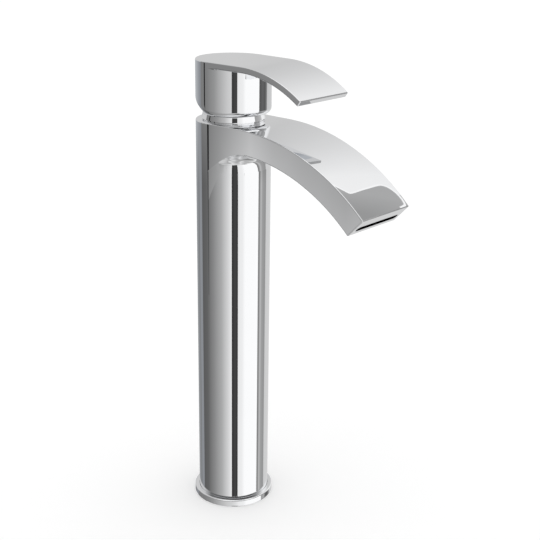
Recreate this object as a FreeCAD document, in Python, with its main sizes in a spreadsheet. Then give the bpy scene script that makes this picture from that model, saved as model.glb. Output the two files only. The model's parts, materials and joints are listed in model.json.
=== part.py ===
import FreeCAD, Part
import math
import os

import Sketcher

# Tall basin mixer with a flat curved spout.  +Z is up, the spout and the lever point
# along -Y, and the origin is the centre of the base ring's underside.  Millimetres.

doc = FreeCAD.newDocument("basin_mixer")

dims = {
    # column and its foot
    "body_diameter": 48.0,
    "body_wall": 3.0,
    "rim_thickness": 4.0,
    "edge_round": 0.6,
    "base_ring_lip": 3.0,
    "base_ring_ledge": 2.0,
    "base_ring_height": 5.0,
    "base_ring_step": 2.6,
    "base_ring_round": 0.9,
    "base_ring_clearance": 0.15,
    "gasket_inset": 4.5,
    "gasket_width": 3.0,
    "gasket_depth": 1.4,
    "foot_plate_thickness": 8.0,
    "foot_plate_inset": 1.0,
    "stud_hole_diameter": 5.0,
    "stud_margin": 10.0,
    "stud_setback": 10.5,
    "hose_slot_length": 26.0,
    "hose_slot_width": 12.6,
    # spout
    "spout_reach": 121.8,
    "spout_straight": 26.9,
    "spout_bend": 137.0,
    "spout_thickness": 15.1,
    "spout_tip_width": 45.0,
    "spout_cove": 15.0,
    "spout_wall": 3.6,
    "spout_side_wall": 4.5,
    "channel_cover": 7.4,
    "channel_stop": 14.0,
    "slot_side_wall": 3.0,
    "slot_height": 4.2,
    "slot_lip": 3.6,
    # valve block and what holds it
    "block_clearance": 0.1,
    "block_wall": 3.2,
    "block_height": 50.0,
    "block_land": 8.5,
    "block_top_land": 3.8,
    "gallery_depth": 1.5,
    "cup_clearance": 0.3,
    "cup_depth": 34.0,
    "inlet_bore": 9.0,
    "inlet_depth": 12.0,
    "port_diameter": 6.4,
    "port_radius": 8.0,
    "port_angle": 60.0,
    "outlet_offset": 1.8,
    "outlet_duct_height": 5.0,
    "outlet_duct_roof": 1.0,
    "o_ring_groove": 1.7,
    "o_ring_groove_width": 2.3,
    "ring_play": 0.03,
    "lock_ring_height": 6.0,
    "lock_ring_wall": 4.9,
    "spanner_slot": 4.0,
    # cartridge
    "case_wall": 1.6,
    "case_neck_wall": 1.12,
    "case_roof": 2.12,
    "case_neck_length": 9.5,
    "base_flange": 2.5,
    "base_height": 5.0,
    "peg_diameter": 3.4,
    "peg_length": 2.6,
    "peg_setback": 6.3,
    "peg_offset": 7.5,
    "seal_depth": 1.2,
    "seal_width": 1.1,
    "disc_play": 0.8,
    "fixed_disc_height": 4.0,
    "moving_disc_room": 4.0,
    "moving_disc_height": 3.5,
    "mixing_pocket": 10.4,
    "mixing_pocket_depth": 1.8,
    "kidney_inner": 6.4,
    "kidney_outer": 9.6,
    "kidney_start": 12.0,
    "kidney_end": 76.0,
    "carrier_height": 4.5,
    "carrier_floor": 0.6,
    "tongue_width": 14.6,
    "tongue_height": 2.3,
    "sleeve_step": 3.3,
    "sleeve_flange_play": 0.4,
    "sleeve_flange_height": 2.5,
    "sleeve_groove": 1.1,
    "sleeve_ring_setback": 3.6,
    "sleeve_gap": 0.3,
    "turning_clearance": 0.08,
    "sliding_clearance": 0.15,
    "swing_clearance": 0.3,
    # lever mechanism
    "pivot_arm": 9.0,
    "lift_angle": 25.0,
    "swivel_angle": 50.0,
    "stop_tab_angle": 24.0,
    "stop_tab_height": 2.4,
    "stop_play": 1.5,
    "stem_width": 8.0,
    "stem_end": 4.0,
    "stem_neck": 4.4,
    "stem_ball": 5.2,
    "stem_bevel": 0.6,
    "pin_diameter": 3.0,
    "pin_clearance": 0.05,
    "pin_setback": 2.0,
    # nut and collar
    "thread_step": 0.3,
    "thread_clearance": 0.1,
    "nut_lip": 0.4,
    "nut_round_height": 2.8,
    "nut_hex_height": 2.6,
    "nut_hex_wall": 1.5,
    "nut_groove": 1.0,
    "collar_wall": 0.9,
    "collar_clearance": 0.2,
    "collar_gap": 0.9,
    "collar_flare": 0.9,
    "collar_taper": 0.7,
    "collar_lip": 3.3,
    "collar_height": 5.4,
    "collar_crown": 1.6,
    # handle
    "handle_top": 303.9,
    "drum_gap": 4.3,
    "drum_height": 33.6,
    "drum_wall": 3.8,
    "drum_round": 3.5,
    "drum_relief_start": -2.0,
    "drum_relief_bend": 14.0,
    "plate_reach": 73.9,
    "plate_straight": 26.8,
    "plate_bend": 81.4,
    "plate_thickness": 3.9,
    "plate_tip_width": 44.3,
    "plate_round": 0.7,
    "socket_wall": 3.2,
    "socket_clearance": 0.1,
    "boss_rise": 7.7,
    "screw_rise": 13.7,
    "screw_diameter": 5.0,
    "screw_length": 10.0,
    "screw_socket": 2.5,
    "screw_wall": 2.5,
    "plug_diameter": 7.0,
    "plug_depth": 2.4,
}

sheet = doc.addObject("Spreadsheet::Sheet", "Sizes")
for row, (alias, number) in enumerate(dims.items(), start=1):
    sheet.set(f"A{row}", alias)
    sheet.set(f"B{row}", str(number))
    sheet.setAlias(f"B{row}", alias)
doc.recompute()


class Size:
    """A length or an angle: its number, and the formula that ties it to the sheet."""

    def __init__(self, number, formula=None):
        self.number = float(number)
        self.formula = repr(self.number) if formula is None else formula

    def joined(self, sign, other, number):
        return Size(number, f"({self.formula} {sign} {other.formula})")

    def __add__(self, other):
        other = as_size(other)
        return self.joined("+", other, self.number + other.number)

    def __sub__(self, other):
        other = as_size(other)
        return self.joined("-", other, self.number - other.number)

    def __mul__(self, other):
        other = as_size(other)
        return self.joined("*", other, self.number * other.number)

    def __truediv__(self, other):
        other = as_size(other)
        return self.joined("/", other, self.number / other.number)

    def __neg__(self):
        return as_size(0) - self


def as_size(value):
    return value if isinstance(value, Size) else Size(value)


def size(alias):
    return Size(dims[alias], f"Sizes.{alias}")


def root(a):
    return Size(math.sqrt(a.number), f"sqrt({a.formula})")


def sine(a):
    return Size(math.sin(math.radians(a.number)), f"sin({a.formula})")


def cosine(a):
    return Size(math.cos(math.radians(a.number)), f"cos({a.formula})")


def tangent(a):
    return Size(math.tan(math.radians(a.number)), f"tan({a.formula})")


def arc_sine(a):
    return Size(math.degrees(math.asin(a.number)), f"asin({a.formula})")


def arc_cosine(a):
    return Size(math.degrees(math.acos(a.number)), f"acos({a.formula})")


def arc_tangent(a):
    return Size(math.degrees(math.atan(a.number)), f"atan({a.formula})")


# ---------------------------------------------------------------- making shapes

def bind(obj, field, value):
    obj.setExpression(field, as_size(value).formula)


def place(obj, x=0, y=0, z=0):
    for field, value in (("x", x), ("y", y), ("z", z)):
        bind(obj, f"Placement.Base.{field}", value)
    return obj


def rod(radius, start, end, axis="Z", x=0, y=0, z=0):
    """A round bar from start to end along one axis; x, y, z place the other two."""
    bar = doc.addObject("Part::Cylinder", "rod")
    bind(bar, "Radius", radius)
    bind(bar, "Height", as_size(end) - start)
    if axis == "X":
        bar.Placement.Rotation = FreeCAD.Rotation(FreeCAD.Vector(0, 1, 0), 90)
        return place(bar, start, y, z)
    if axis == "Y":
        bar.Placement.Rotation = FreeCAD.Rotation(FreeCAD.Vector(1, 0, 0), -90)
        return place(bar, x, start, z)
    return place(bar, x, y, start)


def sector(radius, start, end, first_angle, sweep):
    """A round bar along Z with only part of its turn."""
    wedge = rod(radius, start, end)
    bind(wedge, "Angle", sweep)
    wedge.Placement.Rotation = FreeCAD.Rotation(FreeCAD.Vector(0, 0, 1), 1)
    bind(wedge, "Placement.Rotation.Angle", first_angle)
    return wedge


def block(x_range, y_range, z_range):
    box = doc.addObject("Part::Box", "block")
    for side, (low, high) in zip(("Length", "Width", "Height"), (x_range, y_range, z_range)):
        bind(box, side, as_size(high) - low)
    return place(box, x_range[0], y_range[0], z_range[0])


def hexagonal_bar(flats, length):
    """A bar along Z, given the distance across its flats."""
    bar = doc.addObject("Part::Prism", "hexagon")
    bar.Polygon = 6
    bind(bar, "Circumradius", flats / root(Size(3)))
    bind(bar, "Height", length)
    return bar


def gather(kind, pieces):
    result = doc.addObject(kind, kind.split("::")[1].lower())
    result.Shapes = pieces
    result.Refine = True
    return result


def fuse(*pieces):
    return gather("Part::MultiFuse", list(pieces))


def common(*pieces):
    return gather("Part::MultiCommon", list(pieces))


def cut(base, *tools):
    result = doc.addObject("Part::Cut", "cut")
    result.Base = base
    result.Tool = tools[0] if len(tools) == 1 else fuse(*tools)
    result.Refine = True
    return result


def group(*pieces):
    result = doc.addObject("Part::Compound", "group")
    result.Links = list(pieces)
    return result


def draw(sketch, corners):
    """Close an outline through the corners.

    A corner is (x, y), or (x, y, radius, turn) where an arc ends there: turn is 1 for an
    arc that bends to the left on its way, and -1 for one that bends to the right.
    """
    corners = [tuple(as_size(v) for v in corner[:3]) + corner[3:] for corner in corners]
    points = [FreeCAD.Vector(corner[0].number, corner[1].number, 0) for corner in corners]
    legs = []
    for index, corner in enumerate(corners):
        start, stop = points[index - 1], points[index]
        if len(corner) == 2:
            leg = sketch.addGeometry(Part.LineSegment(start, stop))
            legs.append((leg, 1, 2))
            continue
        radius, turn = corner[2].number, corner[3]
        half = (stop - start) * 0.5
        left = FreeCAD.Vector(-half.y, half.x, 0).normalize()
        rise = math.sqrt(max(radius ** 2 - half.Length ** 2, 0))
        centre = start + half + left * (rise * turn)
        circle = Part.Circle(centre, FreeCAD.Vector(0, 0, 1), radius)
        angles = [math.atan2(p.y - centre.y, p.x - centre.x) for p in (start, stop)][::turn]
        leg = sketch.addGeometry(Part.ArcOfCircle(circle, *angles))
        constraint = sketch.addConstraint(Sketcher.Constraint("Radius", leg, radius))
        bind(sketch, f"Constraints[{constraint}]", corner[2])
        legs.append((leg, 1, 2) if turn > 0 else (leg, 2, 1))
    for index, (leg, first, last) in enumerate(legs):
        follower, follower_first, _ = legs[(index + 1) % len(legs)]
        sketch.addConstraint(Sketcher.Constraint("Coincident", leg, last, follower, follower_first))
        for kind, value, axis in (("DistanceX", corners[index][0], -2),
                                  ("DistanceY", corners[index][1], -1)):
            if value.formula == "0.0":
                sketch.addConstraint(Sketcher.Constraint("PointOnObject", leg, last, axis))
                continue
            constraint = sketch.addConstraint(Sketcher.Constraint(kind, leg, last, value.number))
            bind(sketch, f"Constraints[{constraint}]", value)
    return sketch


def outline_in(body, plane, corners):
    sketch = body.newObject("Sketcher::SketchObject", "outline")
    support = next(part for part in body.Origin.OriginFeatures if part.Role == plane)
    sketch.AttachmentSupport = [(support, "")]
    sketch.MapMode = "FlatFace"
    return draw(sketch, corners)


def turned(name, corners):
    """A body turned about Z from its half section, corners as (radius, height)."""
    body = doc.addObject("PartDesign::Body", name)
    sketch = outline_in(body, "XZ_Plane", corners)
    feature = body.newObject("PartDesign::Revolution", "turning")
    feature.Profile = sketch
    feature.ReferenceAxis = (sketch, ["V_Axis"])
    feature.Angle = 360
    return body


def side_profile(name, corners, width):
    """A body of the given width whose side view, corners as (y, z), is the outline."""
    body = doc.addObject("PartDesign::Body", name)
    sketch = outline_in(body, "YZ_Plane", corners)
    feature = body.newObject("PartDesign::Pad", "pad")
    feature.Profile = sketch
    feature.Midplane = True
    bind(feature, "Length", width)
    return body


def plan_profile(name, corners, height):
    """A body from z = 0 up whose plan view, corners as (x, y), is the outline."""
    body = doc.addObject("PartDesign::Body", name)
    sketch = outline_in(body, "XY_Plane", corners)
    feature = body.newObject("PartDesign::Pad", "pad")
    feature.Profile = sketch
    bind(feature, "Length", height)
    return body


def normal_at(face, point):
    return face.normalAt(*face.Surface.parameter(point))


def sharp_edges(shape, angle, keep):
    """Numbers of the edges whose faces meet at more than the angle, where keep() wants the
    point halfway along."""
    found = []
    for number, edge in enumerate(shape.Edges, start=1):
        faces = shape.ancestorsOfType(edge, Part.Face)
        if len(faces) != 2 or edge.Length < 1e-6:
            continue
        middle = edge.valueAt((edge.FirstParameter + edge.LastParameter) / 2)
        if not keep(middle):
            continue
        normals = [normal_at(face, middle) for face in faces]
        if math.degrees(normals[0].getAngle(normals[1])) > angle:
            found.append(number)
    return found


def rounded(base, radius, keep, angle=20):
    doc.recompute()
    result = doc.addObject("Part::Fillet", "fillet")
    result.Base = base
    edges = sharp_edges(base.Shape, angle, keep)
    result.Edges = [(number, radius.number, radius.number) for number in edges]
    return result


subparts = []


def finish(label, shape):
    shape.Label = label
    subparts.append(shape)
    return shape


# ------------------------------------------------- sizes that several pieces share

overrun = Size(2.0)
swing = size("swing_clearance")

# radii of the column and of what fits in it, from the outside inwards
body_radius = size("body_diameter") / 2
bore_radius = body_radius - size("body_wall")
block_radius = bore_radius - size("block_clearance")
cup_radius = block_radius - size("block_wall")
case_radius = cup_radius - size("cup_clearance")
gallery_radius = block_radius - size("gallery_depth")
groove_radius = block_radius - size("o_ring_groove")
base_ring_radius = body_radius + size("base_ring_lip")
base_bore_radius = bore_radius - size("base_ring_ledge")
gasket_radius = base_ring_radius - size("gasket_inset")

# radii in the cartridge
case_bore_radius = case_radius - size("case_wall")
sleeve_radius = case_bore_radius - size("sleeve_step")
sleeve_flange_radius = case_bore_radius - size("sleeve_flange_play")
case_turning_radius = sleeve_radius + size("turning_clearance")
case_neck_radius = case_turning_radius + size("case_neck_wall")
disc_radius = case_bore_radius - size("disc_play")
moving_disc_radius = disc_radius - size("moving_disc_room")

# radii of the nut and the collar
nut_outer_radius = cup_radius + size("thread_step")
thread_radius = nut_outer_radius + size("thread_clearance")
nut_head_radius = nut_outer_radius + size("nut_lip")
nut_bore_radius = case_neck_radius + swing
collar_inner = nut_head_radius + size("block_clearance")
collar_foot_radius = collar_inner + size("collar_wall")
rim_radius = collar_foot_radius + size("collar_clearance")
collar_bore_radius = rim_radius - size("collar_lip")

# heights of the handle, the column and the valve block, from the top down
handle_top = size("handle_top")
drum_bottom = handle_top - size("drum_height")
body_top = drum_bottom - size("drum_gap")
body_foot = size("base_ring_step")
lip_bottom = body_top - size("rim_thickness")
block_top = lip_bottom
block_bottom = block_top - size("block_height")
low_land_top = block_bottom + size("block_land")
top_land_bottom = block_top - size("block_top_land")
low_ring_height = block_bottom + size("block_land") / 2
top_ring_height = block_top - size("block_top_land") / 2
groove_half = size("o_ring_groove_width") / 2
cup_floor = block_top - size("cup_depth")
duct_top = cup_floor - size("outlet_duct_roof")
duct_bottom = duct_top - size("outlet_duct_height")

# heights in the cartridge, from the floor of its cup
base_flange_top = cup_floor + size("base_flange")
base_top = cup_floor + size("base_height")
fixed_disc_top = base_top + size("fixed_disc_height")
moving_disc_top = fixed_disc_top + size("moving_disc_height")
carrier_top = moving_disc_top + size("carrier_height")
tongue_top = carrier_top + size("tongue_height")
sleeve_bottom = carrier_top + size("sleeve_gap")
sleeve_flange_top = sleeve_bottom + size("sleeve_flange_height")
case_shoulder = sleeve_flange_top + size("turning_clearance") + size("case_roof")
case_top = case_shoulder + size("case_neck_length")
sleeve_ring_height = case_top - size("sleeve_ring_setback")
sleeve_groove_half = (size("sleeve_groove") + swing) / 2

# the lever's pivot, stem and screw, and the nut
ball_room = size("stem_ball") / 2 + swing
ball_height = moving_disc_top + size("carrier_floor") + ball_room
pivot = ball_height + size("pivot_arm")
lift = size("lift_angle")
stem_half = size("stem_width") / 2
neck_radius = size("stem_neck") / 2
half_pin = sleeve_radius - size("pin_setback")
screw_height = drum_bottom + size("screw_rise")
stem_top = screw_height + size("stem_end")
nut_collar_top = block_top + size("nut_round_height")
nut_top = nut_collar_top + size("nut_hex_height")
nut_ring_height = block_top + size("nut_round_height") / 2
nut_groove_half = (size("nut_groove") + swing) / 2

# plan places of the water ways, the pegs and the studs
inlet_x = size("port_radius") * sine(size("port_angle"))
inlet_y = -(size("port_radius") * cosine(size("port_angle")))
outlet_y = size("outlet_offset")
port_radius = size("port_diameter") / 2
ports = ((-inlet_x, inlet_y), (inlet_x, inlet_y), (Size(0), outlet_y))
peg_x = case_bore_radius - size("peg_setback")
peg_y = size("peg_offset")
stud_x = bore_radius - size("stud_margin")


# --------------------------------------------------------------- body and its foot

def tongue_outline(reach, tip_width):
    """Plan corners of a tapered tongue whose sides run off the round body at a tangent."""
    half = tip_width / 2
    length = root(half * half + reach * reach)
    lean = arc_tangent(reach / half) - arc_cosine(body_radius / length)
    side_x = body_radius * cosine(lean)
    side_y = -(body_radius * sine(lean))
    return [(side_x, side_y), (-side_x, side_y), (-half, -reach), (half, -reach)]


def bent_plate(top, straight, bend, thickness, reach, start=-overrun):
    """Side view corners of a plate that runs level and then bends down to its end."""
    turn = arc_sine((reach - straight) / bend)
    inner = bend - thickness
    centre = top - bend
    return [
        (-start, top),
        (-straight, top),
        (-(straight + bend * sine(turn)), centre + bend * cosine(turn), bend, 1),
        (-(straight + inner * sine(turn)), centre + inner * cosine(turn)),
        (-straight, top - thickness, inner, -1),
        (-start, top - thickness),
    ]


def spout_mouth(turn):
    """The long slot in the end face, square to it."""
    half_height = size("slot_height") / 2
    half_length = size("spout_tip_width") / 2 - size("slot_side_wall") - half_height
    depth = size("channel_stop")
    slot = fuse(
        block((-half_length, half_length), (-overrun, depth), (-half_height, half_height)),
        rod(half_height, -overrun, depth, axis="Y", x=-half_length),
        rod(half_height, -overrun, depth, axis="Y", x=half_length))
    middle = size("spout_bend") - size("spout_thickness") + size("slot_lip") + half_height
    slot.Placement.Rotation = FreeCAD.Rotation(FreeCAD.Vector(1, 0, 0), 1)
    bind(slot, "Placement.Rotation.Angle", turn)
    return place(slot, y=-(size("spout_straight") + middle * sine(turn)),
                 z=body_top - size("spout_bend") + middle * cosine(turn))


def make_body_casting():
    column = rod(body_radius, body_foot, body_top)
    reach = size("spout_reach")
    bend = size("spout_bend")
    straight = size("spout_straight")
    thickness = size("spout_thickness")
    tongue = plan_profile("spout_plan", tongue_outline(
        reach + overrun, size("spout_tip_width")), body_top)
    side = side_profile("spout_side", bent_plate(body_top, straight, bend, thickness, reach),
                        (body_radius + overrun) * 2)
    bend_middle = FreeCAD.Vector(0, -straight.number, (body_top - bend).number)
    upper_quarter = (bend - thickness / 4).number

    def on_top(point):
        out = FreeCAD.Vector(0, point.y, point.z) - bend_middle
        return out.Length > upper_quarter and point.z > bend_middle.z

    spout = rounded(common(side, tongue), size("edge_round"), lambda point: (
        not on_top(point) and point.y < -1))
    cove = size("spout_cove")
    underside = body_top - thickness
    wall_middle = (body_radius + bore_radius) / 2
    cove_ring = turned("spout_cove", [
        (wall_middle, underside - cove),
        (body_radius, underside - cove),
        (body_radius + cove, underside, cove, -1),
        (body_radius + cove, underside + overrun),
        (wall_middle, underside + overrun),
    ])
    outside = fuse(column, spout, common(cove_ring, tongue))
    outside = rounded(outside, size("edge_round"), on_top)
    turn = arc_sine((reach - straight) / bend)
    cover = size("channel_cover")
    wall = size("spout_wall")
    width = size("spout_tip_width") - size("spout_side_wall") * 2
    channel = side_profile("water_channel", bent_plate(
        body_top - cover, straight, bend - cover, thickness - cover - wall,
        reach - size("channel_stop"), start=gallery_radius), width)
    chamber = side_profile("water_chamber", bent_plate(
        body_top - wall, straight, bend - wall, thickness - wall * 2,
        reach - size("channel_stop"), start=body_radius), width)
    return cut(outside,
               rod(bore_radius, body_foot - overrun, lip_bottom),
               rod(rim_radius, lip_bottom - overrun, body_top + overrun),
               channel,
               chamber,
               spout_mouth(turn))


def make_base_ring():
    radius = base_ring_radius
    height = size("base_ring_height")
    edge = size("base_ring_round")
    seat = body_radius + size("base_ring_clearance")
    gasket_inner = gasket_radius - size("gasket_width")
    return turned("base_ring", [
        (base_bore_radius, 0),
        (gasket_inner, 0),
        (gasket_inner, size("gasket_depth")),
        (gasket_radius, size("gasket_depth")),
        (gasket_radius, 0),
        (radius - edge, 0),
        (radius, edge, edge, 1),
        (radius, height - edge),
        (radius - edge, height, edge, 1),
        (seat, height),
        (seat, body_foot),
        (base_bore_radius, body_foot),
    ])


def make_base_gasket():
    outer = gasket_radius - size("block_clearance")
    inner = gasket_radius - size("gasket_width") + size("block_clearance")
    return turned("base_gasket", [
        (inner, 0), (outer, 0), (outer, size("gasket_depth")), (inner, size("gasket_depth"))])


def make_foot_plate():
    bottom = body_foot + size("foot_plate_inset")
    top = bottom + size("foot_plate_thickness")
    end_radius = size("hose_slot_width") / 2
    end_x = size("hose_slot_length") / 2 - end_radius
    low, high = bottom - overrun, top + overrun
    hose_slot = fuse(block((-end_x, end_x), (inlet_y - end_radius, inlet_y + end_radius),
                           (low, high)),
                     rod(end_radius, low, high, x=-end_x, y=inlet_y),
                     rod(end_radius, low, high, x=end_x, y=inlet_y))
    studs = [rod(size("stud_hole_diameter") / 2, low, high,
                 x=stud_x * side, y=size("stud_setback"))
             for side in (-1, 1)]
    return cut(rod(bore_radius - size("block_clearance"), bottom, top), hose_slot, *studs)


# ------------------------------------------------------------ valve block, its seals

def groove_corners(centre, outer, bottom, half_width):
    """Corners of an O-ring groove met going up the outside of a turned piece."""
    return [(outer, centre - half_width), (bottom, centre - half_width),
            (bottom, centre + half_width), (outer, centre + half_width)]


def make_valve_block():
    thread_bottom = case_shoulder - swing
    turned_block = turned("valve_block_turning", [
        (0, block_bottom), (block_radius, block_bottom),
        *groove_corners(low_ring_height, block_radius, groove_radius, groove_half),
        (block_radius, low_land_top), (gallery_radius, low_land_top),
        (gallery_radius, top_land_bottom), (block_radius, top_land_bottom),
        *groove_corners(top_ring_height, block_radius, groove_radius, groove_half),
        (block_radius, block_top), (thread_radius, block_top),
        (thread_radius, thread_bottom), (cup_radius, thread_bottom),
        (cup_radius, cup_floor), (0, cup_floor),
    ])
    inlet_top = block_bottom + size("inlet_depth")
    inlet_radius = size("inlet_bore") / 2
    peg_radius = size("peg_diameter") / 2 + size("block_clearance")
    peg_bottom = cup_floor - size("peg_length") - swing
    cutters = [
        rod(port_radius, duct_bottom, cup_floor + overrun, y=outlet_y),
        block((-port_radius, port_radius), (outlet_y, block_radius + overrun),
              (duct_bottom, duct_top)),
    ]
    for side in (-1, 1):
        cutters.append(rod(inlet_radius, block_bottom - overrun, inlet_top,
                           x=inlet_x * side, y=inlet_y))
        cutters.append(rod(port_radius, block_bottom, cup_floor + overrun,
                           x=inlet_x * side, y=inlet_y))
        cutters.append(rod(peg_radius, peg_bottom, cup_floor + overrun,
                           x=peg_x * side, y=peg_y))
    return cut(turned_block, *cutters)


def o_ring(name, inner_limit, outer_limit, height, half_width):
    """A rubber ring squeezed into a groove: flat where it touches, round at its sides."""
    inner = inner_limit + size("ring_play")
    outer = outer_limit - size("ring_play")
    half = half_width - swing / 2
    bevel = (outer - inner) / 3
    return turned(name, [
        (inner, height - half + bevel), (inner + bevel, height - half),
        (outer - bevel, height - half), (outer, height - half + bevel),
        (outer, height + half - bevel), (outer - bevel, height + half),
        (inner + bevel, height + half), (inner, height + half - bevel),
    ])


def make_block_o_rings():
    return group(
        o_ring("low_ring", groove_radius, bore_radius, low_ring_height, groove_half),
        o_ring("top_ring", groove_radius, bore_radius, top_ring_height, groove_half))


def make_lock_ring():
    low = block_bottom - size("lock_ring_height")
    half_slot = size("spanner_slot") / 2
    slot = block((-bore_radius, bore_radius), (-half_slot, half_slot),
                 (low - overrun, low + size("lock_ring_height") / 2))
    return cut(rod(block_radius, low, block_bottom),
               rod(block_radius - size("lock_ring_wall"), low - overrun,
                   block_bottom + overrun), slot)


# ---------------------------------------------------------------------- cartridge

def make_cartridge_base():
    spigot_radius = case_bore_radius - size("block_clearance")
    peg_radius = size("peg_diameter") / 2
    pegs = [rod(peg_radius, cup_floor - size("peg_length"), base_flange_top,
                x=peg_x * side, y=peg_y) for side in (-1, 1)]
    plate = fuse(rod(case_radius, cup_floor, base_flange_top),
                 rod(spigot_radius, cup_floor, base_top), *pegs)
    holes = [rod(port_radius, cup_floor - overrun, base_top + overrun, x=x, y=y)
             for x, y in ports]
    recesses = [rod(port_radius + size("seal_width"), cup_floor - overrun,
                    cup_floor + size("seal_depth"), x=x, y=y) for x, y in ports]
    return cut(plate, *holes, *recesses)


def make_port_seals():
    outer = port_radius + size("seal_width") - size("ring_play")
    top = cup_floor + size("seal_depth")
    return group(*[cut(rod(outer, cup_floor, top, x=x, y=y),
                       rod(port_radius, cup_floor - overrun, top + overrun, x=x, y=y))
                   for x, y in ports])


def kidney(side, low, high):
    """One curved inlet port, on the left (-1) or the right (1) of the front."""
    sweep = size("kidney_end") - size("kidney_start")
    if side > 0:
        first = size("kidney_start") - 90
    else:
        first = -size("kidney_end") - 90
    return cut(sector(size("kidney_outer"), low, high, first, sweep),
               rod(size("kidney_inner"), low - overrun, high + overrun))


def make_fixed_disc():
    low, high = base_top - overrun, fixed_disc_top + overrun
    return cut(rod(disc_radius, base_top, fixed_disc_top),
               kidney(-1, low, high), kidney(1, low, high),
               rod(port_radius, low, high, y=outlet_y))


def make_moving_disc():
    return cut(rod(moving_disc_radius, fixed_disc_top, moving_disc_top),
               rod(size("mixing_pocket") / 2, fixed_disc_top - overrun,
                   fixed_disc_top + size("mixing_pocket_depth")))


def make_disc_carrier():
    radius = moving_disc_radius
    half_tongue = size("tongue_width") / 2
    tongue = common(rod(radius, moving_disc_top, tongue_top),
                    block((-half_tongue, half_tongue), (-radius, radius),
                          (moving_disc_top, tongue_top)))
    neck_reach = (tangent(lift) * (tongue_top - ball_height) + neck_radius / cosine(lift)
                  + swing)
    neck_side = neck_radius + swing
    return cut(fuse(rod(radius, moving_disc_top, carrier_top), tongue),
               rod(ball_room, ball_height - ball_room, tongue_top + overrun),
               block((-neck_side, neck_side), (0, neck_reach),
                     (ball_height, tongue_top + overrun)))


def make_cartridge_case():
    neck = case_neck_radius
    ledge = sleeve_flange_top + size("turning_clearance")
    shell = turned("cartridge_case_turning", [
        (case_bore_radius, base_flange_top), (case_radius, base_flange_top),
        (case_radius, case_shoulder), (neck, case_shoulder), (neck, case_top),
        (case_turning_radius, case_top), (case_turning_radius, ledge),
        (case_bore_radius, ledge),
    ])
    sweep = size("swivel_angle") * 2 + size("stop_tab_angle") + size("stop_play") * 2
    window = sector(neck + overrun, case_top - size("stop_tab_height"), case_top + overrun,
                    Size(90) - sweep / 2, sweep)
    return cut(shell, window)


def make_stem_sleeve():
    top = case_top
    flange_radius = sleeve_flange_radius
    groove_floor = sleeve_radius - size("sleeve_groove")
    core = turned("stem_sleeve_turning", [
        (0, sleeve_bottom), (flange_radius, sleeve_bottom),
        (flange_radius, sleeve_flange_top), (sleeve_radius, sleeve_flange_top),
        *groove_corners(sleeve_ring_height, sleeve_radius, groove_floor, sleeve_groove_half),
        (sleeve_radius, top), (0, top),
    ])
    tab = sector(case_neck_radius, top - size("stop_tab_height") + swing, top,
                 Size(90) - size("stop_tab_angle") / 2, size("stop_tab_angle"))
    half_channel = size("tongue_width") / 2 + size("sliding_clearance")
    half_slot = stem_half + size("sliding_clearance")
    rear_reach = tangent(lift) * (top - pivot) + stem_half / cosine(lift) + swing
    front_reach = (tangent(lift) * (pivot - sleeve_flange_top) + neck_radius / cosine(lift)
                   + swing)
    return cut(fuse(core, tab),
               block((-half_channel, half_channel), (-flange_radius, flange_radius),
                     (sleeve_bottom - overrun, sleeve_flange_top)),
               block((-half_slot, half_slot), (-(stem_half + swing), rear_reach),
                     (pivot - stem_half / 4, top + overrun)),
               block((-half_slot, half_slot), (-front_reach, stem_half + swing),
                     (sleeve_bottom, pivot)),
               rod(size("pin_diameter") / 2, -half_pin, half_pin, axis="X", z=pivot))


def make_sleeve_o_ring():
    return o_ring("sleeve_o_ring", sleeve_radius - size("sleeve_groove"),
                  case_turning_radius, sleeve_ring_height, sleeve_groove_half)


def make_pivot_pin():
    return rod(size("pin_diameter") / 2, -half_pin, half_pin, axis="X", z=pivot)


def make_lever_stem():
    top = stem_top
    bevel = size("stem_bevel")
    shank = side_profile("stem_shank", [
        (stem_half, pivot), (stem_half, top - bevel), (stem_half - bevel, top),
        (bevel - stem_half, top), (-stem_half, top - bevel), (-stem_half, pivot),
    ], size("stem_width"))
    eye = rod(stem_half, -stem_half, stem_half, axis="X", z=pivot)
    ball = doc.addObject("Part::Sphere", "ball")
    bind(ball, "Radius", size("stem_ball") / 2)
    place(ball, z=ball_height)
    pin_hole = rod(size("pin_diameter") / 2 + size("pin_clearance"), -size("stem_width"),
                   size("stem_width"), axis="X", z=pivot)
    neck = rod(neck_radius, ball_height, pivot - stem_half / 2)
    return cut(fuse(shank, eye, neck, ball), pin_hole)


# ------------------------------------------------------------------ nut and collar

def make_retaining_nut():
    bore = nut_bore_radius
    groove_floor = nut_head_radius - size("nut_groove")
    ring = turned("retaining_nut_turning", [
        (bore, case_shoulder), (nut_outer_radius, case_shoulder),
        (nut_outer_radius, block_top), (nut_head_radius, block_top),
        *groove_corners(nut_ring_height, nut_head_radius, groove_floor, nut_groove_half),
        (nut_head_radius, nut_collar_top), (bore, nut_collar_top),
    ])
    flats = (bore + size("nut_hex_wall")) * 2
    hexagon = hexagonal_bar(flats, size("nut_hex_height"))
    place(hexagon, z=nut_collar_top)
    return cut(fuse(ring, hexagon), rod(bore, case_shoulder - overrun, nut_top + overrun))


def make_collar():
    lower = collar_foot_radius + size("collar_flare")
    upper = lower - size("collar_taper")
    top = body_top + size("collar_height")
    crown = size("collar_crown")
    ceiling = nut_top + swing
    return turned("collar", [
        (collar_inner, block_top), (collar_foot_radius, block_top),
        (collar_foot_radius, body_top + size("collar_gap")),
        (lower, body_top + size("collar_gap")),
        (upper, top - crown), (upper - crown, top, crown, 1),
        (collar_bore_radius, top), (collar_bore_radius, ceiling), (collar_inner, ceiling),
    ])


def make_collar_o_ring():
    return o_ring("collar_o_ring", nut_head_radius - size("nut_groove"), collar_inner,
                  nut_ring_height, nut_groove_half)


# ------------------------------------------------------------------------- handle

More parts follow.
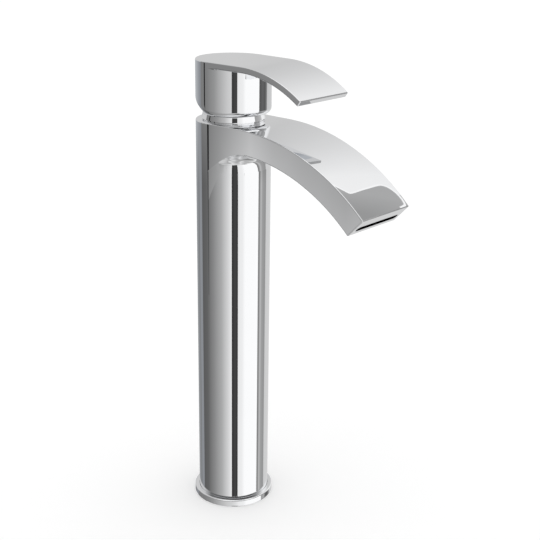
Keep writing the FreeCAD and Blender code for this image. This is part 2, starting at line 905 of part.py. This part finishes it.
def relief_profile():
    """Side view of what is cut from the back of the drum so that the lever can lift."""
    start = size("drum_relief_start")
    bend = size("drum_relief_bend")
    bottom = drum_bottom
    bend_y = start + bend * sine(lift)
    bend_z = bottom + bend - bend * cosine(lift)
    back = body_radius + overrun
    return [(start, bottom, bend, -1), (start, bottom - overrun), (back, bottom - overrun),
            (back, bend_z + (back - bend_y) * tangent(lift)), (bend_y, bend_z)]


def make_lever_handle():
    reach = size("plate_reach")
    thickness = size("plate_thickness")
    tongue = plan_profile("lever_plan", tongue_outline(
        reach + overrun, size("plate_tip_width")), handle_top)
    side = side_profile("lever_side", bent_plate(
        handle_top, size("plate_straight"), size("plate_bend"), thickness, reach),
        (body_radius + overrun) * 2)
    drum = rod(body_radius, drum_bottom, handle_top)
    drum.Placement.Rotation = FreeCAD.Rotation(FreeCAD.Vector(0, 0, 1), 90)
    relief = side_profile("drum_relief", relief_profile(), (body_radius + overrun) * 2)
    outside = cut(fuse(drum, common(side, tongue)), relief)
    foot_level = (drum_bottom + body_radius * tangent(lift) + 1).number
    drum_front = -(body_radius + 1).number

    def on_foot(point):
        return point.z < foot_level and point.y > drum_front

    outside = rounded(outside, size("drum_round"), on_foot)
    outside = rounded(outside, size("plate_round"), lambda point: not on_foot(point))
    ceiling = handle_top - thickness
    half_socket = stem_half + size("socket_clearance")
    boss_radius = half_socket + size("socket_wall")
    boss = rod(boss_radius, drum_bottom + size("boss_rise"), ceiling)
    screw_radius = size("screw_diameter") / 2
    screw_boss = rod(screw_radius + size("screw_wall"), 0, body_radius, axis="Y",
                     z=screw_height)
    inner_radius = body_radius - size("drum_wall")
    hollow = cut(rod(inner_radius, drum_bottom - overrun, ceiling), boss, screw_boss)
    socket = block((-half_socket, half_socket), (-half_socket, half_socket),
                   (drum_bottom, stem_top + swing))
    screw_hole = rod(screw_radius + size("pin_clearance"), 0, body_radius + overrun,
                     axis="Y", z=screw_height)
    plug_hole = rod(size("plug_diameter") / 2 + size("pin_clearance"),
                    body_radius - size("plug_depth"), body_radius + overrun, axis="Y",
                    z=screw_height)
    return cut(outside, hollow, socket, screw_hole, plug_hole)


def make_grub_screw():
    start = stem_half
    end = stem_half + size("screw_length")
    key = size("screw_socket")
    hexagon = hexagonal_bar(key, key + overrun)
    hexagon.Placement.Rotation = FreeCAD.Rotation(FreeCAD.Vector(1, 0, 0), -90)
    place(hexagon, y=end - key, z=screw_height)
    return cut(rod(size("screw_diameter") / 2, start, end, axis="Y", z=screw_height), hexagon)


def make_screw_plug():
    plug = rod(size("plug_diameter") / 2, body_radius - size("plug_depth"), body_radius,
               axis="Y", z=screw_height)
    return common(plug, rod(body_radius, drum_bottom, handle_top))


makers = {
    "body_casting": make_body_casting,
    "base_ring": make_base_ring,
    "base_gasket": make_base_gasket,
    "foot_plate": make_foot_plate,
    "valve_block": make_valve_block,
    "block_o_rings": make_block_o_rings,
    "lock_ring": make_lock_ring,
    "cartridge_base": make_cartridge_base,
    "port_seals": make_port_seals,
    "fixed_disc": make_fixed_disc,
    "moving_disc": make_moving_disc,
    "disc_carrier": make_disc_carrier,
    "cartridge_case": make_cartridge_case,
    "stem_sleeve": make_stem_sleeve,
    "sleeve_o_ring": make_sleeve_o_ring,
    "pivot_pin": make_pivot_pin,
    "lever_stem": make_lever_stem,
    "retaining_nut": make_retaining_nut,
    "collar": make_collar,
    "collar_o_ring": make_collar_o_ring,
    "lever_handle": make_lever_handle,
    "grub_screw": make_grub_screw,
    "screw_plug": make_screw_plug,
}
for label, make in makers.items():
    finish(label, make())
doc.recompute()

faults = [obj.Label for obj in doc.Objects if {"Invalid", "Error"} & set(obj.State)]
faults += [part.Label for part in subparts
           if part.Shape.isNull() or not part.Shape.isValid() or part.Shape.Volume <= 0]
if faults:
    raise SystemExit("not built: " + ", ".join(faults))

os.makedirs("parts", exist_ok=True)
for part in subparts:
    part.Shape.exportStep(f"parts/{part.Label}.step")
    print(f"{part.Label}: {len(part.Shape.Solids)} solid, {part.Shape.Volume:.0f} mm3")
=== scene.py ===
import json
import math

import bpy
from mathutils import Matrix, Vector

# Tall basin mixer, polished chrome, photographed from its front left on a white table.
# Metres, +Z up; the spout and the lever point along -Y.

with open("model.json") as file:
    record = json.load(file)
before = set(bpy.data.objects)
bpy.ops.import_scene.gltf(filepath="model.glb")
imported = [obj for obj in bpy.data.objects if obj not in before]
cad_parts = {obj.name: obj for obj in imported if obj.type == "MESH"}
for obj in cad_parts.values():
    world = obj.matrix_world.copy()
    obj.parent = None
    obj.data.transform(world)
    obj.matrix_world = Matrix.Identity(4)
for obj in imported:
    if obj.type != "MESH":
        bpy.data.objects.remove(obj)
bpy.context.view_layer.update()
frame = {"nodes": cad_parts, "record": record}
nodes = frame["nodes"]
print("frame loaded:", len(nodes), "pieces")


# Small helpers for node trees and meshes.

def newMaterial(name):
    material = bpy.data.materials.new(name)
    material.use_nodes = True
    material.node_tree.nodes.clear()
    return material


def addNode(tree, kind, settings=None, inputs=None):
    node = tree.nodes.new(kind)
    for key, value in (settings or {}).items():
        setattr(node, key, value)
    for key, value in (inputs or {}).items():
        if isinstance(value, bpy.types.NodeSocket):
            tree.links.new(value, node.inputs[key])
        else:
            node.inputs[key].default_value = value
    return node


def addMath(tree, operation, first, second):
    return addNode(tree, "ShaderNodeMath", {"operation": operation}, {
        0: first, 1: second}).outputs["Value"]


def addBlend(tree, share, first, second):
    # From the first colour to the second by the share; either may be a plain colour.
    colours = [colour if isinstance(colour, bpy.types.NodeSocket) else (*colour, 1)
               for colour in (first, second)]
    return addNode(tree, "ShaderNodeMixRGB", inputs={
        "Fac": share, "Color1": colours[0], "Color2": colours[1]}).outputs["Color"]


def addRamp(tree, factor, stops):
    # Stops are (place, level), where a level is one number or three.
    ramp = addNode(tree, "ShaderNodeValToRGB", inputs={"Fac": factor})
    elements = ramp.color_ramp.elements
    while len(elements) < len(stops):
        elements.new(0.5)
    for element, (place, level) in zip(elements, stops):
        element.position = place
        colour = level if isinstance(level, (tuple, list)) else (level,) * 3
        element.color = (*colour, 1)
    return ramp.outputs["Color"]


def addNoise(tree, coordinates, scale, detail, roughness):
    noise = addNode(tree, "ShaderNodeTexNoise", inputs={
        "Vector": coordinates, "Scale": scale, "Detail": detail, "Roughness": roughness})
    return noise.outputs["Fac"]


def meshObject(name, points, faces):
    mesh = bpy.data.meshes.new(name)
    mesh.from_pydata(points, [], faces)
    mesh.update()
    piece = bpy.data.objects.new(name, mesh)
    bpy.context.scene.collection.objects.link(piece)
    return piece


def stripFaces(pairs):
    # Faces of a strip whose points come in pairs, one pair after the other.
    return [(2 * pair - 2, 2 * pair, 2 * pair + 1, 2 * pair - 1) for pair in range(1, pairs)]


# The camera, found from the outlines of the column, the spout and the lever.
cameraSet = {
    "place": (-0.4897, -0.4703, 0.4020),
    "heading": -48.20,  # degrees from +Y, turning left is positive
    "tilt": -19.30,
    "roll": -0.68,
    "lens": 72.13,
    "sensor": 36,
    "clip": (0.01, 50),
}


def makeCamera():
    camera = bpy.data.objects.new("photoCamera", bpy.data.cameras.new("photoCamera"))
    bpy.context.scene.collection.objects.link(camera)
    turn = (Matrix.Rotation(math.radians(cameraSet["heading"]), 4, "Z")
            @ Matrix.Rotation(math.radians(cameraSet["tilt"]), 4, "X")
            @ Matrix.Rotation(math.radians(cameraSet["roll"]), 4, "Y")
            @ Matrix.Rotation(math.radians(90), 4, "X"))
    camera.matrix_world = Matrix.Translation(cameraSet["place"]) @ turn
    camera.data.lens = cameraSet["lens"]
    camera.data.sensor_width = cameraSet["sensor"]
    camera.data.clip_start, camera.data.clip_end = cameraSet["clip"]
    bpy.context.scene.camera = camera


makeCamera()
print("camera placed")


# The studio: a white table, and round it walls and cards that only the chrome sees.
studio = {
    "tableRadius": 12.0,
    "tableSides": 96,
    "tableColour": (0.96, 0.96, 0.96),
    "tableLift": 0.08,  # glow that the camera and mirrors see, so the table comes out white
    "worldLevel": 1.0,
    "wallDistance": 2.2,
    "wallFoot": -3.0,
    "wallTop": 6.0,
    "wallStep": 3,  # degrees
    "below": -0.5,  # under this slope the chrome sees marbling instead of white
    "swirl": 2.0,
    "swirlLevels": ((0.32, 0.22), (0.43, 0.45), (0.51, 0.80), (0.58, 0.40), (0.70, 0.62)),
}

# Heights between which each band of a wall takes over from the band below it.
bandFades = {
    "deep": (-3.0, -3.0),  # always the lowest
    "low": (-1.95, -1.75),  # mirrored by the column
    "middle": (-0.35, -0.15),  # by the drum
    "step": (0.01, 0.05),  # by the side of the base ring
    "high": (0.70, 0.82),  # by the collar and the tops of the spout and the lever
    "top": (1.05, 1.20),  # by the ledge at the collar's foot
    "roof": (2.2, 2.6),
}
tintedBands = ("low", "middle")
# Angles run round the tap from the camera's side, in degrees, to the right as the camera
# sees it. Each band fades through its levels from the wall's first edge to its last, and a
# band left out is as the one below it.
walls = {
    "wallBehindLeft": {
        "edges": (-180, -131),
        "tint": (0.95, 0.985, 1.03),
        "low": ((0, 0.40), (0.6, 0.30), (1, 0.21)),
        "middle": ((0, 0.50), (0.6, 0.48), (1, 0.36)),
        "step": ((0, 0.62), (1, 0.62))},
    "cardBehindLeft": {
        "edges": (-131, -115),
        "tint": (0.94, 0.98, 1.05),
        "low": ((0, 0.30), (1, 0.28)),
        "middle": ((0, 0.35), (1, 0.26)),
        "step": ((0, 0.62), (1, 0.62))},
    "wallLeft": {
        "edges": (-115, -5.8),
        "low": ((0, 0.11), (0.2, 0.13), (0.45, 0.26), (0.7, 0.43), (0.9, 0.70), (1, 0.86)),
        "middle": ((0, 0.21), (0.25, 0.22), (0.5, 0.31), (0.75, 0.50), (0.9, 0.62), (1, 0.67)),
        "high": ((0, 0.40), (0.3, 0.30), (0.55, 0.36), (0.75, 0.50), (0.9, 0.72), (1, 0.86)),
        "top": ((0, 0.60), (0.3, 0.16), (1, 0.09)),
        "roof": ((0, 0.62), (1, 0.80))},
    "blackCard": {
        "edges": (-5.8, 13.6),
        "low": ((0, 0.03), (0.5, 0.06), (1, 0.04)),
        "middle": ((0, 0.16), (0.10, 0.04), (0.5, 0.06), (0.84, 0.05), (0.88, 0.80)),
        "step": ((0, 0.67), (0.5, 0.75), (1, 0.87)),
        "high": ((0, 0.05), (1, 0.05)),
        "top": ((0, 0.08), (1, 0.08)),
        "roof": ((0, 0.80), (1, 0.85))},
    "wallRight": {
        "edges": (13.6, 83),
        "low": ((0, 0.87), (0.2, 0.91), (0.33, 1.04), (1, 1.05)),
        "top": ((0, 0.08), (0.7, 0.10), (1, 0.25)),
        "roof": ((0, 0.85), (1, 0.95))},
    "greyCard": {
        "edges": (83, 120),
        "low": ((0, 0.22), (0.12, 0.24), (0.3, 0.53), (0.5, 0.36), (1, 0.30)),
        "middle": ((0, 0.09), (0.4, 0.13), (0.7, 0.10), (1, 0.28)),
        "step": ((0, 0.35), (0.6, 0.45), (1, 0.60)),
        "high": ((0, 0.10), (0.7, 0.05), (0.9, 0.30), (1, 0.93)),
        "top": ((0, 0.30), (1, 0.93)),
        "roof": ((0, 0.95), (1, 0.93))},
    "wallBehindRight": {
        "edges": (120, 180),
        "deep": ((0, 0.20), (1, 0.24)),
        "low": ((0, 0.64), (1, 0.68)),
        "middle": ((0, 0.58), (1, 0.67)),
        "step": ((0, 0.93), (0.3, 0.90), (0.55, 0.77), (0.8, 0.64), (0.92, 0.59), (1, 0.62))},
}

# Upright cards beside the tap; rows are (y, lower edge, upper edge), levels run along the
# lower edge, and the upper edge is as bright as that times headLevel.
sideCards = {
    "spoutCard": {
        "x": -0.03,
        "rows": ((-0.116, 0.224, 0.232), (-0.104, 0.212, 0.241), (-0.086, 0.226, 0.253),
                 (-0.062, 0.238, 0.263), (-0.038, 0.2445, 0.268), (-0.015, 0.242, 0.269),
                 (0.004, 0.215, 0.269)),
        "levels": ((0, 0.46), (0.37, 0.47), (0.56, 0.51), (0.71, 0.60), (0.83, 0.47),
                   (0.93, 0.34), (1, 0.27)),
        "headLevel": 0.82},
    "edgeCard": {
        "x": -0.03,
        "rows": ((0.0040, 0.15, 0.269), (0.0056, 0.15, 0.269)),
        "levels": ((0, 0.13), (1, 0.13)),
        "headLevel": 0.05},
    "drumCard": {
        "x": -0.12,
        "rows": ((0.120, 0.245, 0.30), (0.147, 0.245, 0.30)),
        "levels": ((0, 0.02), (1, 0.02)),
        "headLevel": 1.0},
}

# A grey card beyond the spout with a thin white line in front, mirrored by the spout's end.
patchCard = {
    "centre": (0.3913, -0.2075, 0.5238),
    "across": (-0.2254, -0.9743, 0.0),
    "up": (-0.5803, 0.1343, 0.8033),
    "outline": ((-0.110, 0.165), (-0.075, 0.140), (-0.058, 0.125), (-0.046, 0.113),
                (-0.036, 0.102), (-0.034, 0.095), (-0.041, 0.080), (-0.056, 0.056),
                (-0.069, 0.033), (-0.082, 0.011), (-0.091, -0.006), (-0.093, -0.020),
                (-0.087, -0.035), (-0.074, -0.050), (-0.062, -0.068), (-0.060, -0.100),
                (-0.070, -0.172), (0.12, -0.172), (0.12, 0.165)),
    "line": ((-0.110, 0.165), (-0.075, 0.140), (-0.058, 0.125), (-0.046, 0.113),
             (-0.036, 0.102), (-0.034, 0.095), (-0.041, 0.080), (-0.056, 0.056),
             (-0.069, 0.033), (-0.082, 0.011), (-0.091, -0.006), (-0.093, -0.020),
             (-0.087, -0.035), (-0.074, -0.050), (-0.056, -0.063), (-0.038, -0.073),
             (-0.029, -0.074), (-0.021, -0.068), (-0.012, -0.058)),
    "lineWidth": 0.007,
    "lineLift": 0.002,
    "smoothing": 4,  # steps from one point to the next
    "greyLevels": ((0, 0.42), (0.3, 0.42), (0.7, 0.33), (1, 0.33)),
    "lineLevels": ((0, 0.98), (1, 0.98)),
}


def makeGlow(name, levels, upperLevels=(), fades=()):
    # Light that runs through its levels along the piece, and up it from one set to the next.
    material = newMaterial(name)
    tree = material.node_tree
    place = addNode(tree, "ShaderNodeUVMap", {"uv_map": "along"})
    along = addNode(tree, "ShaderNodeSeparateXYZ", inputs={"Vector": place.outputs["UV"]})
    colour = addRamp(tree, along.outputs["X"], levels)
    for nextLevels, (start, end) in zip(upperLevels, fades):
        share = addNode(tree, "ShaderNodeMapRange", inputs={
            "Value": along.outputs["Y"], "From Min": start, "From Max": end})
        colour = addBlend(tree, share.outputs["Result"], colour,
                          addRamp(tree, along.outputs["X"], nextLevels))
    glow = addNode(tree, "ShaderNodeEmission", inputs={"Color": colour, "Strength": 1.0})
    addNode(tree, "ShaderNodeOutputMaterial", inputs={"Surface": glow.outputs["Emission"]})
    return material


def makeMirrored(name, points, faces, along, material):
    # A stage piece that only the chrome sees.
    piece = meshObject(name, points, faces)
    layer = piece.data.uv_layers.new(name="along")
    for polygon in piece.data.polygons:
        for loop, vertex in zip(polygon.loop_indices, polygon.vertices):
            layer.data[loop].uv = along[vertex]
    piece.data.materials.append(material)
    piece.visible_camera = False
    piece.visible_diffuse = False
    piece.visible_shadow = False


def makeWall(name, wall):
    cameraAngle = math.degrees(math.atan2(cameraSet["place"][1], cameraSet["place"][0]))
    first, last = wall["edges"]
    steps = max(2, int((last - first) / studio["wallStep"]))
    points, along = [], []
    for step in range(steps + 1):
        angle = math.radians(cameraAngle + first + (last - first) * step / steps)
        x = studio["wallDistance"] * math.cos(angle)
        y = studio["wallDistance"] * math.sin(angle)
        points += [(x, y, studio["wallFoot"]), (x, y, studio["wallTop"])]
        along += [(step / steps, 0), (step / steps, 1)]
    bands = [band for band in bandFades if band in wall]
    levels = []
    for band in bands:
        tint = wall.get("tint", (1, 1, 1)) if band in tintedBands else (1, 1, 1)
        levels.append([(place, [level * part for part in tint])
                       for place, level in wall[band]])
    rise = studio["wallTop"] - studio["wallFoot"]
    fades = [[(height - studio["wallFoot"]) / rise for height in bandFades[band]]
             for band in bands[1:]]
    makeMirrored(name, points, stripFaces(steps + 1), along,
                 makeGlow(name, levels[0], levels[1:], fades))


def makeSideCard(name, card):
    points, along = [], []
    firstY, lastY = card["rows"][0][0], card["rows"][-1][0]
    for y, foot, head in card["rows"]:
        place = (y - firstY) / (lastY - firstY)
        points += [(card["x"], y, foot), (card["x"], y, head)]
        along += [(place, 0), (place, 1)]
    headLevels = [(place, level * card["headLevel"]) for place, level in card["levels"]]
    makeMirrored(name, points, stripFaces(len(card["rows"])), along,
                 makeGlow(name, card["levels"], (headLevels,), ((0, 1),)))


def smoothed(points, steps):
    # A rounded curve that still goes through every point.
    curve = []
    for index in range(len(points) - 1):
        before, start, end, after = (
            Vector(points[min(max(index + shift, 0), len(points) - 1)])
            for shift in (-1, 0, 1, 2))
        for step in range(steps):
            t = step / steps
            place = 0.5 * (2 * start + (end - before) * t
                           + (2 * before - 5 * start + 4 * end - after) * t ** 2
                           + (3 * start - before - 3 * end + after) * t ** 3)
            curve.append((place.x, place.y))
    return curve + [tuple(points[-1])]


def makePatchCard():
    centre, across, up = (Vector(patchCard[key]) for key in ("centre", "across", "up"))
    front = across.cross(up).normalized()

    def onCard(a, b, lift=0.0):
        return centre + a * across + b * up + lift * front

    outline = smoothed(patchCard["outline"], patchCard["smoothing"])
    line = smoothed(patchCard["line"], patchCard["smoothing"])
    left = min(a for a, b in outline)
    width = max(a for a, b in outline) - left
    makeMirrored("patchCard", [onCard(a, b) for a, b in outline],
                 [tuple(range(len(outline)))], [((a - left) / width, 0) for a, b in outline],
                 makeGlow("patchCard", patchCard["greyLevels"]))

    points = []
    half = patchCard["lineWidth"] / 2
    for index, (a, b) in enumerate(line):
        before, after = line[max(index - 1, 0)], line[min(index + 1, len(line) - 1)]
        run = Vector((after[0] - before[0], after[1] - before[1])).normalized()
        points += [onCard(a - run.y * side, b + run.x * side, patchCard["lineLift"])
                   for side in (-half, half)]
    makeMirrored("patchLine", points, stripFaces(len(line)), [(0.5, 0)] * len(points),
                 makeGlow("patchLine", patchCard["lineLevels"]))


def makeTable():
    sides, radius = studio["tableSides"], studio["tableRadius"]
    rim = [(radius * math.cos(math.tau * side / sides),
            radius * math.sin(math.tau * side / sides), 0) for side in range(sides)]
    table = meshObject("table", rim, [tuple(range(sides))])
    material = newMaterial("whiteTable")
    tree = material.node_tree
    matt = addNode(tree, "ShaderNodeBsdfDiffuse", inputs={
        "Color": (*studio["tableColour"], 1)})
    path = addNode(tree, "ShaderNodeLightPath")
    seen = addMath(tree, "ADD", path.outputs["Is Camera Ray"], addMath(
        tree, "ADD", path.outputs["Is Glossy Ray"], path.outputs["Is Transmission Ray"]))
    lift = addMath(tree, "MULTIPLY", seen, studio["tableLift"])
    glow = addNode(tree, "ShaderNodeEmission", inputs={
        "Color": (1, 1, 1, 1), "Strength": lift})
    both = addNode(tree, "ShaderNodeAddShader", inputs={
        0: matt.outputs["BSDF"], 1: glow.outputs["Emission"]})
    addNode(tree, "ShaderNodeOutputMaterial", inputs={"Surface": both.outputs["Shader"]})
    table.data.materials.append(material)
    table.visible_glossy = False  # the chrome mirrors the walls all the way down


def makeWorld():
    world = bpy.data.worlds.new("studio")
    bpy.context.scene.world = world
    world.use_nodes = True
    tree = world.node_tree
    tree.nodes.clear()
    path = addNode(tree, "ShaderNodeLightPath")
    direction = addNode(tree, "ShaderNodeTexCoord").outputs["Generated"]
    height = addNode(tree, "ShaderNodeSeparateXYZ", inputs={"Vector": direction})
    below = addMath(tree, "LESS_THAN", height.outputs["Z"], studio["below"])
    mirrored = addMath(tree, "MULTIPLY", below, path.outputs["Is Glossy Ray"])
    swirl = addNoise(tree, direction, studio["swirl"], detail=1.5, roughness=0.5)
    colour = addBlend(tree, mirrored, (1, 1, 1),
                      addRamp(tree, swirl, studio["swirlLevels"]))
    sky = addNode(tree, "ShaderNodeBackground", inputs={
        "Color": colour, "Strength": studio["worldLevel"]})
    addNode(tree, "ShaderNodeOutputWorld", inputs={"Surface": sky.outputs["Background"]})


for name, wall in walls.items():
    makeWall(name, wall)
for name, card in sideCards.items():
    makeSideCard(name, card)
makePatchCard()
makeTable()
makeWorld()
bpy.context.scene.view_settings.view_transform = "Standard"
print("studio built")


# The finishes.

def addBump(tree, height, distance, normal=None, strength=1.0):
    inputs = {"Height": height, "Distance": distance, "Strength": strength}
    if normal is not None:
        inputs["Normal"] = normal
    return addNode(tree, "ShaderNodeBump", inputs=inputs).outputs["Normal"]


def addShader(tree, colour, roughness, normal, metallic=0.0):
    shader = addNode(tree, "ShaderNodeBsdfPrincipled", inputs={
        "Base Color": colour, "Roughness": roughness, "Normal": normal, "Metallic": metallic})
    addNode(tree, "ShaderNodeOutputMaterial", inputs={"Surface": shader.outputs["BSDF"]})


def addSpread(tree, value, low, high, fromLow=0.35, fromHigh=0.75):
    spread = addNode(tree, "ShaderNodeMapRange", inputs={
        "Value": value, "From Min": fromLow, "From Max": fromHigh,
        "To Min": low, "To Max": high})
    return spread.outputs["Result"]


chromeSet = {
    "colour": (0.93, 0.935, 0.945),
    "hazeTone": 0.985,  # how much of the colour is left in the polishing haze
    "clear": 0.012,  # roughness where the plate is clean, and in the haze
    "haze": 0.04,
    "hazeSize": 25,
    "fineSize": 450,
    "fineShare": 0.25,
    "wave": 0.000004,  # how far the polishing leaves the surface from true, metres
    "waveSize": 60,
    "crownRadius": 0.28,  # the top of the spout is crowned across by this radius
    "crownFacing": (0.5, 0.6),  # and only where it faces up by this much
    "bellyLean": 0.44,  # the base ring's side takes its light from this much higher up
}


def makeChrome(name, crowned=False, bellied=False):
    material = newMaterial(name)
    tree = material.node_tree
    coordinates = addNode(tree, "ShaderNodeTexCoord")
    place = coordinates.outputs["Object"]
    haze = addNoise(tree, place, chromeSet["hazeSize"], detail=4, roughness=0.6)
    fine = addNoise(tree, place, chromeSet["fineSize"], detail=2, roughness=0.7)
    cloud = addMath(tree, "ADD", addMath(tree, "MULTIPLY", haze, 1 - chromeSet["fineShare"]),
                    addMath(tree, "MULTIPLY", fine, chromeSet["fineShare"]))
    roughness = addSpread(tree, cloud, chromeSet["clear"], chromeSet["haze"])
    hazed = [part * chromeSet["hazeTone"] for part in chromeSet["colour"]]
    tone = addBlend(tree, addSpread(tree, haze, 0, 1), chromeSet["colour"], hazed)
    wave = addNoise(tree, place, chromeSet["waveSize"], detail=1, roughness=0.4)
    height = addMath(tree, "MULTIPLY", wave, chromeSet["wave"])
    normal = addBump(tree, height, distance=1.0)
    if crowned:
        across = addNode(tree, "ShaderNodeSeparateXYZ", inputs={"Vector": place})
        facing = addNode(tree, "ShaderNodeSeparateXYZ", inputs={
            "Vector": coordinates.outputs["Normal"]})
        square = addMath(tree, "MULTIPLY", across.outputs["X"], across.outputs["X"])
        crown = addMath(tree, "MULTIPLY", square, -0.5 / chromeSet["crownRadius"])  # parabola
        share = addSpread(tree, facing.outputs["Z"], 0, 1, *chromeSet["crownFacing"])
        normal = addBump(tree, crown, distance=1.0, normal=normal, strength=share)
    if bellied:
        upright = addNode(tree, "ShaderNodeSeparateXYZ", inputs={"Vector": place})
        lean = addMath(tree, "MULTIPLY", upright.outputs["Z"], -chromeSet["bellyLean"])
        normal = addBump(tree, lean, distance=1.0, normal=normal)
    addShader(tree, tone, roughness, normal, metallic=1.0)
    return material


turnedSet = {
    "brass": {"colour": (0.72, 0.56, 0.30), "dark": (0.60, 0.44, 0.21), "tarnish": 140,
              "roughness": (0.22, 0.38), "pitch": 2600, "depth": 0.000006},
    "steel": {"colour": (0.62, 0.63, 0.65), "dark": (0.52, 0.53, 0.55), "tarnish": 140,
              "roughness": (0.16, 0.30), "pitch": 5200, "depth": 0.000003},
}


def makeTurned(name, look):
    # Metal from the lathe: fine rings round Z, and a faint tarnish.
    material = newMaterial(name)
    tree = material.node_tree
    place = addNode(tree, "ShaderNodeTexCoord").outputs["Object"]
    flat = addNode(tree, "ShaderNodeVectorMath", {"operation": "MULTIPLY"}, {
        0: place, 1: (1, 1, 0)})
    radius = addNode(tree, "ShaderNodeVectorMath", {"operation": "LENGTH"}, {
        0: flat.outputs["Vector"]})
    apart = addNode(tree, "ShaderNodeSeparateXYZ", inputs={"Vector": place})
    rings = addNode(tree, "ShaderNodeCombineXYZ", inputs={
        "X": radius.outputs["Value"], "Y": apart.outputs["Z"]})
    marks = addNoise(tree, rings.outputs["Vector"], look["pitch"], detail=2, roughness=0.6)
    tarnish = addNoise(tree, place, look["tarnish"], detail=4, roughness=0.6)
    share = addSpread(tree, tarnish, 0, 1, fromLow=0.4, fromHigh=0.7)
    colour = addBlend(tree, share, look["colour"], look["dark"])
    addShader(tree, colour, addSpread(tree, marks, *look["roughness"]),
              addBump(tree, marks, look["depth"]), metallic=1.0)
    return material


mouldedSet = {
    "valvePlastic": {"colour": (0.80, 0.80, 0.78), "deep": (0.74, 0.74, 0.71),
                     "roughness": (0.38, 0.52), "grain": 1800, "flow": 90, "depth": 0.00002},
    "casePlastic": {"colour": (0.20, 0.30, 0.42), "deep": (0.16, 0.25, 0.37),
                    "roughness": (0.36, 0.50), "grain": 1600, "flow": 90, "depth": 0.00002},
    "plugPlastic": {"colour": (0.62, 0.64, 0.66), "deep": (0.56, 0.58, 0.60),
                    "roughness": (0.12, 0.22), "grain": 900, "flow": 90, "depth": 0.000004},
    "blackRubber": {"colour": (0.030, 0.030, 0.030), "deep": (0.018, 0.018, 0.019),
                    "roughness": (0.55, 0.75), "grain": 2200, "flow": 90, "depth": 0.00003},
    "valveCeramic": {"colour": (0.86, 0.85, 0.82), "deep": (0.80, 0.79, 0.75),
                     "roughness": (0.10, 0.24), "grain": 3000, "flow": 90, "depth": 0.000002},
}


def makeMoulded(name, look):
    # Plastic, rubber or ceramic: a fine grain, and a flow of slow changes of colour.
    material = newMaterial(name)
    tree = material.node_tree
    place = addNode(tree, "ShaderNodeTexCoord").outputs["Object"]
    grain = addNoise(tree, place, look["grain"], detail=2, roughness=0.6)
    flow = addNoise(tree, place, look["flow"], detail=3, roughness=0.55)
    colour = addBlend(tree, addSpread(tree, flow, 0, 1), look["colour"], look["deep"])
    addShader(tree, colour, addSpread(tree, grain, *look["roughness"]),
              addBump(tree, grain, look["depth"]))
    return material


finishes = {
    "polished_chrome": makeChrome("polishedChrome"),
    "plain_brass": makeTurned("plainBrass", turnedSet["brass"]),
    "steel_pin": makeTurned("groundSteel", turnedSet["steel"]),
    "black_rubber": makeMoulded("blackRubber", mouldedSet["blackRubber"]),
    "valve_ceramic": makeMoulded("valveCeramic", mouldedSet["valveCeramic"]),
    "valve_plastic": makeMoulded("valvePlastic", mouldedSet["valvePlastic"]),
    "case_plastic": makeMoulded("casePlastic", mouldedSet["casePlastic"]),
    "plug_plastic": makeMoulded("plugPlastic", mouldedSet["plugPlastic"]),
}
ownFinishes = {
    "body_casting": makeChrome("crownedChrome", crowned=True),
    "base_ring": makeChrome("bellyChrome", bellied=True),
}

for row in frame["record"]["subparts"]:
    piece = nodes[row["node"]]
    finish = ownFinishes.get(row["node"], finishes[row["material_slot"]])
    piece.data.materials.clear()
    piece.data.materials.append(finish)
print("finishes laid on")
